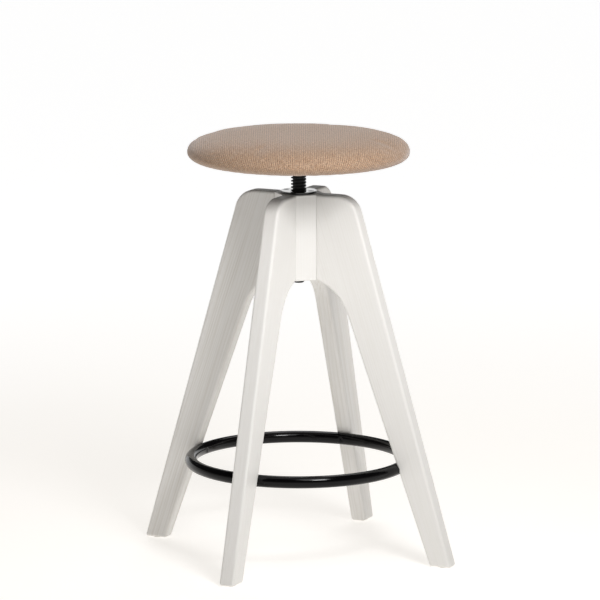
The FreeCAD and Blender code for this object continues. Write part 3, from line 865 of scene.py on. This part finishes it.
@dataclass
class SeatCushion:
    """Woven cover, blown up over the foam by a short cloth simulation and stapled at its hem."""

    UV = "cloth"

    shape: SeatShape
    faces_across: int = 104
    start_inset: float = 2.4 * MM
    swell_limit: float = 1.4 * MM
    bands: int = 90
    held_from: float = 0.93
    pressure: float = 4.0
    frames: int = 20
    thickness: float = 1.1 * MM
    warp_turn: float = 24.8
    pleats: int = 46
    pleat_depth: float = 0.75 * MM
    pleat_radius: float = 151 * MM
    pleat_reach: float = 6.5 * MM
    pleat_drop: float = 6 * MM
    dent: float = 0.18 * MM
    sunk: float = 0.3 * MM
    dent_fade: float = 20 * MM

    def build(self) -> bpy.types.Object:
        """Lays the cloth out, blows it up and gathers its edge.

        Returns:
            The finished piece.
        """
        share, angle, faces = round_grid(self.faces_across)
        outline = self.shape.curve(self.start_inset)
        along = share * outline[-1, 2]
        radius = np.interp(along, outline[:, 2], outline[:, 0])
        height = np.interp(along, outline[:, 2], outline[:, 1])
        start = np.stack([radius * np.cos(angle), radius * np.sin(angle), height], axis=-1)
        cushion = make_piece("seat_cushion", start, faces)
        self._lay_threads(cushion, along, angle)
        grown = self._blow_up(cushion, share)
        settled = self._limited(start, grown)
        settled = self._centred(settled, share, angle)
        settled = settled + self._unevenness(settled)
        settled = self._gathered(settled, share, angle)
        cushion.data.vertices.foreach_set("co", settled.astype(np.float32).ravel())
        cushion.data.update()
        self._thicken(cushion)
        return cushion

    def _lay_threads(self, cushion: bpy.types.Object, along: Array, angle: Array) -> None:
        """UV in metres: (s cos b, s sin b), for s along the outline and b the angle from the warp.

        Args:
            cushion: the piece.
            along: metres along the outline of each vertex.
            angle: angle round the screw of each vertex.
        """
        layer = cushion.data.uv_layers.new(name=self.UV)
        loops = np.empty(len(cushion.data.loops), dtype=np.int32)
        cushion.data.loops.foreach_get("vertex_index", loops)
        from_warp = angle - math.radians(self.warp_turn)
        flat = np.stack([along * np.cos(from_warp), along * np.sin(from_warp)], axis=-1)
        layer.data.foreach_set("uv", flat[loops].astype(np.float32).ravel())

    def _blow_up(self, cushion: bpy.types.Object, share: Array) -> Array:
        """Runs the cloth under an even pressure, held at the hem.

        Args:
            cushion: the piece.
            share: share of the way to the hem of each vertex.

        Returns:
            The vertices after the last frame.
        """
        held = cushion.vertex_groups.new(name="held")
        held.add(np.flatnonzero(share >= self.held_from).tolist(), 1.0, "REPLACE")
        cloth = cushion.modifiers.new("cloth", "CLOTH")
        settings = cloth.settings
        settings.quality = 5
        settings.vertex_group_mass = held.name
        settings.use_pressure = True
        settings.uniform_pressure_force = self.pressure
        settings.effector_weights.gravity = 0.0
        cloth.collision_settings.use_collision = False
        cloth.point_cache.frame_end = self.frames
        for step in range(1, self.frames + 1):
            bpy.context.scene.frame_set(step)
        seen = cushion.evaluated_get(bpy.context.evaluated_depsgraph_get())
        grown = np.empty(3 * len(cushion.data.vertices), dtype=np.float32)
        seen.data.vertices.foreach_get("co", grown)
        cushion.modifiers.remove(cloth)
        cushion.vertex_groups.remove(held)
        bpy.context.scene.frame_set(1)
        return grown.reshape(-1, 3).astype(float)

    def _limited(self, start: Array, grown: Array) -> Array:
        """Caps how far each point has moved: a move m becomes limit * tanh(m / limit).

        Args:
            start: the points before.
            grown: the points after.

        Returns:
            The capped points.
        """
        move = grown - start
        length = np.linalg.norm(move, axis=1, keepdims=True)
        LOG.info("seat_cushion: cloth moved up to %.1f mm", 1000 * length.max())
        capped = self.swell_limit * np.tanh(length / self.swell_limit)
        return start + move * capped / np.maximum(length, 1e-9)

    def _centred(self, points: Array, share: Array, angle: Array) -> Array:
        """Moves each ring of the cloth so that its mean lies on the seat's outline.

        The mean radius and height are taken in narrow bands of the share, and the difference
        from the outline is added back to every point of the band.

        Args:
            points: the cover's points.
            share: share of the way to the hem.
            angle: angle round the screw.

        Returns:
            The moved points.
        """
        outline = self.shape.curve(0.0)
        radius, height = np.hypot(points[:, 0], points[:, 1]), points[:, 2]
        band = np.rint(share * self.bands).astype(int)
        count = np.maximum(np.bincount(band, minlength=self.bands + 1), 1)
        middle = np.bincount(band, share, self.bands + 1) / count
        filled = np.bincount(band, minlength=self.bands + 1) > 0
        along = middle[filled] * outline[-1, 2]
        mean_radius = (np.bincount(band, radius, self.bands + 1) / count)[filled]
        mean_height = (np.bincount(band, height, self.bands + 1) / count)[filled]
        out = np.interp(along, outline[:, 2], outline[:, 0]) - mean_radius
        up = np.interp(along, outline[:, 2], outline[:, 1]) - mean_height
        radius = radius + np.interp(share, middle[filled], out)
        height = height + np.interp(share, middle[filled], up)
        return np.stack([radius * np.cos(angle), radius * np.sin(angle), height], axis=-1)

    def _unevenness(self, points: Array) -> Array:
        """Slow hollows of the foam: a sum of waves in plan, up to 0.3 mm up and down, sunk a little.

        Args:
            points: the cover's points.

        Returns:
            The vertical moves, which fade out below the rim.
        """
        x, y, z = points.T
        waves = np.sin(41 * x + 0.4) * np.cos(37 * y + 1.1) + 0.6 * np.sin(63 * (x + y) + 2.0)
        above = np.clip((z - self.shape.rim_height) / self.dent_fade, 0, 1)
        lift = self.dent * waves * above
        return np.stack([np.zeros_like(lift), np.zeros_like(lift), lift - self.sunk * above], axis=-1)

    def _gathered(self, points: Array, share: Array, angle: Array) -> Array:
        """Small pleats on the turned-in underside.

        Each is a wave round the seat, strongest between the rim and the hem, of a height that
        differs from one to the next.

        Args:
            points: the cover's points.
            share: share of the way to the hem.
            angle: angle round the screw.

        Returns:
            The moved points.
        """
        outline = self.shape.curve(self.start_inset)
        along = share * outline[-1, 2]
        radius = np.interp(along, outline[:, 2], outline[:, 0])
        below = points[:, 2] < self.shape.rim_height - self.pleat_drop
        band = np.exp(-(((radius - self.pleat_radius) / self.pleat_reach) ** 2)) * below
        uneven = 0.6 + 0.4 * np.sin(5 * angle + 1.3) * np.sin(11 * angle + 0.2)
        wave = 0.5 + 0.5 * np.sin(self.pleats * angle + 1.5 * np.sin(3 * angle))
        lift = self.pleat_depth * band * uneven * wave
        return points + np.stack([np.zeros_like(lift), np.zeros_like(lift), lift], axis=-1)

    def _thicken(self, cushion: bpy.types.Object) -> None:
        """Rounds the cloth by one subdivision and gives it a thickness inwards.

        Args:
            cushion: the piece.
        """
        smooth = cushion.modifiers.new("smooth", "SUBSURF")
        smooth.levels = smooth.render_levels = 1
        smooth.boundary_smooth = "PRESERVE_CORNERS"
        wall = cushion.modifiers.new("wall", "SOLIDIFY")
        wall.thickness = self.thickness
        wall.offset = -1.0


@dataclass
class UpholsteredSeat:
    """Board, foam, woven cover and dust cloth, all on the turning screw."""

    body: str = "seat"
    foam_inset: float = 5.5 * MM
    foam_low: float = 633.5 * MM
    board_gap: float = 0.3 * MM
    cloth_radius: float = 137.0 * MM
    step_radius: float = 126.6 * MM
    cloth_thickness: float = 0.6 * MM
    staples: int = 24
    staple_circle: float = 132.9 * MM
    segments: int = 192
    sheet_faces: int = 72
    step_width: float = 1.6 * MM
    slack_depth: float = 0.25 * MM
    slack_reach: float = 3.5 * MM
    sag: float = 0.9 * MM
    sag_from: float = 56 * MM
    sag_width: float = 68 * MM

    def build(self, zinc: bpy.types.Material) -> None:
        """Builds and dresses the pieces of the seat.

        Args:
            zinc: finish of the staples.
        """
        low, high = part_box("seat_cover")
        self.shape = SeatShape(radius=high.x, crown=high.z, underside=low.z)
        self._cushion()
        self._padding()
        self._dust_sheet()
        dress_nodes(Plywood(bottom=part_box("seat_board")[0].z).build(), "seat_board")
        dress_nodes(zinc, "cover_staples")

    def _cushion(self) -> None:
        """The woven cover."""
        cushion = SeatCushion(self.shape).build()
        dress(cushion, MelangeWeave().build())
        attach(cushion, self.body)
        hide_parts("seat_cover")
        LOG.info("seat_cushion: melange_weave")

    def _padding(self) -> None:
        """The foam: the crown's curve moved inwards, closed by the board's top and side."""
        outline = self.shape.curve(self.foam_inset)
        above = outline[outline[:, 1] >= self.foam_low]
        outer = above[:: max(1, len(above) // 60), :2]
        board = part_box("seat_board")[1]
        side = board.x + self.board_gap
        top = board.z + self.board_gap
        inner = np.array([[side, self.foam_low], [side, top], [side / 2, top], [0.0, top]])
        points, faces = lathe(np.vstack([outer, inner]), self.segments)
        padding = make_piece("seat_padding", points, faces)
        dress(padding, CellFoam().build())
        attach(padding, self.body)
        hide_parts("seat_foam")
        LOG.info("seat_padding: seat_foam")

    def _dust_sheet(self) -> None:
        """Round cloth under the seat, drawn up a little at each staple and slack between them."""
        board_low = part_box("seat_board")[0].z
        hem_low = self.shape.underside
        share, angle, faces = round_grid(self.sheet_faces)
        radius = share * self.cloth_radius
        stepped = np.clip((radius - self.step_radius) / self.step_width, 0, 1)
        level = board_low + (hem_low - board_low) * stepped * stepped * (3 - 2 * stepped)
        slack = 0.5 - 0.5 * np.cos(self.staples * angle)
        near_edge = np.exp(-(((radius - self.staple_circle) / self.slack_reach) ** 2))
        drape = self.slack_depth * slack * near_edge
        inwards = np.clip((radius - self.sag_from) / self.sag_width, 0, 1)
        sag = self.sag * np.sin(np.pi * inwards) ** 2
        height = level - self.cloth_thickness / 2 - drape - sag
        points = np.stack([radius * np.cos(angle), radius * np.sin(angle), height], axis=-1)
        sheet = make_piece("dust_sheet", points, faces[:, ::-1])
        wall = sheet.modifiers.new("wall", "SOLIDIFY")
        wall.thickness = self.cloth_thickness
        wall.offset = 0.0
        dress(sheet, DustCloth().build())
        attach(sheet, self.body)
        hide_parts("dust_cover")
        LOG.info("dust_sheet: dust_cloth")


# ---------------------------------------------------------------- studio


def around(azimuth: float, elevation: float, distance: float) -> Vector:
    """A point seen from the middle of the stool's foot.

    Args:
        azimuth: degrees from the front towards the right.
        elevation: degrees above the floor.
        distance: metres.

    Returns:
        The point.
    """
    turn, rise = math.radians(azimuth), math.radians(elevation)
    flat = distance * math.cos(rise)
    return Vector((flat * math.sin(turn), -flat * math.cos(turn), distance * math.sin(rise)))


@dataclass(frozen=True)
class SoftBox:
    """One rectangular soft light aimed at a height on the screw's axis."""

    name: str
    azimuth: float
    elevation: float
    distance: float
    size: tuple[float, float]
    power: float
    colour: Colour = (1.0, 1.0, 1.0)
    aim: float = 0.40

    def build(self) -> None:
        """Places the light, facing its aim."""
        light = bpy.data.lights.new(self.name, "AREA")
        light.shape = "RECTANGLE"
        light.size, light.size_y = self.size
        light.energy = self.power
        light.color = self.colour
        holder = bpy.data.objects.new(self.name, light)
        target = Vector((0.0, 0.0, self.aim))
        offset = around(self.azimuth, self.elevation, self.distance)
        holder.location = target + offset
        holder.rotation_euler = (-offset).to_track_quat("-Z", "Y").to_euler()
        bpy.context.scene.collection.objects.link(holder)


@dataclass
class Studio:
    """Camera, pale floor, even surround and soft boxes."""

    azimuth: float = 24.82
    distance: float = 7.2144
    height: float = 1.7189
    pitch: float = 10.33
    aim_left: float = 0.017
    lens: float = 280.8
    backdrop: float = 1.0
    sides: float = 0.40
    side_tint: Colour = (1.0, 0.935, 0.85)
    dome: float = 0.04
    band_from: float = 0.17
    band_to: float = 0.27
    near_glow: float = 0.74
    near_tint: Colour = (1.0, 0.965, 0.915)
    floor_dark: float = 0.44
    floor_pale: float = 0.46
    far_glow: float = 0.95
    glow_from: float = 0.6
    glow_to: float = 3.0
    floor_half: float = 25.0

    BOXES = (
        SoftBox("key_box", 48.5, 37.0, 1.5, (0.34, 0.34), 10.6),
        SoftBox("high_box", 46.0, 50.0, 2.2, (1.0, 1.0), 12.6),
        SoftBox("top_box", 10.0, 84.0, 1.9, (1.4, 1.4), 6.3, aim=0.6),
        SoftBox("rear_box", 200.0, 50.0, 2.0, (1.0, 1.0), 10.0),
    )

    def build(self) -> None:
        """Builds everything that is not part of the stool."""
        self._camera()
        self._surround()
        self._floor()
        for box in self.BOXES:
            box.build()
        bpy.context.scene.view_settings.view_transform = "Standard"

    def _camera(self) -> None:
        """A long lens a little above the seat, looking down at the stool."""
        data = bpy.data.cameras.new("camera")
        data.lens = self.lens
        data.sensor_width = 36.0
        data.clip_end = 100.0
        camera = bpy.data.objects.new("camera", data)
        place = around(self.azimuth, 0.0, self.distance)
        place.z = self.height
        camera.location = place
        turn = math.radians(self.azimuth - self.aim_left)
        camera.rotation_euler = (math.radians(90.0 - self.pitch), 0.0, turn)
        bpy.context.scene.collection.objects.link(camera)
        bpy.context.scene.camera = camera

    def _surround(self) -> None:
        """A white backdrop behind the stool, dimmer and warmer walls beside it, and a dark ceiling."""
        world = bpy.data.worlds.new("surround")
        world.use_nodes = True
        recipe = Recipe("surround", world.node_tree)
        x, y, upwards = recipe.place()
        turn = math.radians(self.azimuth)
        behind = (y * math.cos(turn) - x * math.sin(turn)).rising(0.2, 0.9)
        low_down = 1.0 - upwards.rising(self.band_from, self.band_to)
        strength = self.dome + low_down * (self.sides + (self.backdrop - self.sides) * behind)
        tint = recipe.mix(behind, self.side_tint, (1.0, 1.0, 1.0))
        background = {"Color": tint, "Strength": strength}
        light = recipe.node("ShaderNodeBackground", None, background)
        recipe.node("ShaderNodeOutputWorld", None, {"Surface": light})
        bpy.context.scene.world = world

    def _floor(self) -> None:
        """A plain floor lit from within, more so farther off, so that it stays pale all over."""
        half = self.floor_half
        corners = np.array([[-half, -half, 0.0], [half, -half, 0.0], [half, half, 0.0], [-half, half, 0.0]])
        floor = make_piece("floor", corners, [[0, 1, 2, 3]])
        recipe = Recipe("pale_floor")
        x, y, _ = recipe.place()
        mottle = recipe.noise(recipe.join(x, y, 0.0), 3.0)
        away = (x * x + y * y).root().rising(self.glow_from, self.glow_to)
        near = tuple(self.near_glow * share for share in self.near_tint)
        far = (self.far_glow,) * 3
        dress(
            floor,
            recipe.finish(
                Base_Color=recipe.mix(mottle, (self.floor_dark,) * 3, (self.floor_pale,) * 3),
                Roughness=0.8,
                Emission_Color=recipe.mix(away, near, far),
                Emission_Strength=1.0,
                Specular_IOR_Level=0.1,
            ),
        )


# ---------------------------------------------------------------- all together


def main() -> None:
    """Dresses the frame, builds the soft pieces and sets up the studio."""
    logging.basicConfig(level=logging.INFO, format="%(name)s: %(message)s")
    steel = BlackenedSteel().build()
    zinc = ZincPlate().build()
    WoodenFrame().dress()
    Footrest().dress(steel)
    ScrewColumn().dress(steel, zinc)
    UpholsteredSeat().build(zinc)
    Studio().build()


if __name__ == "__main__":
    main()
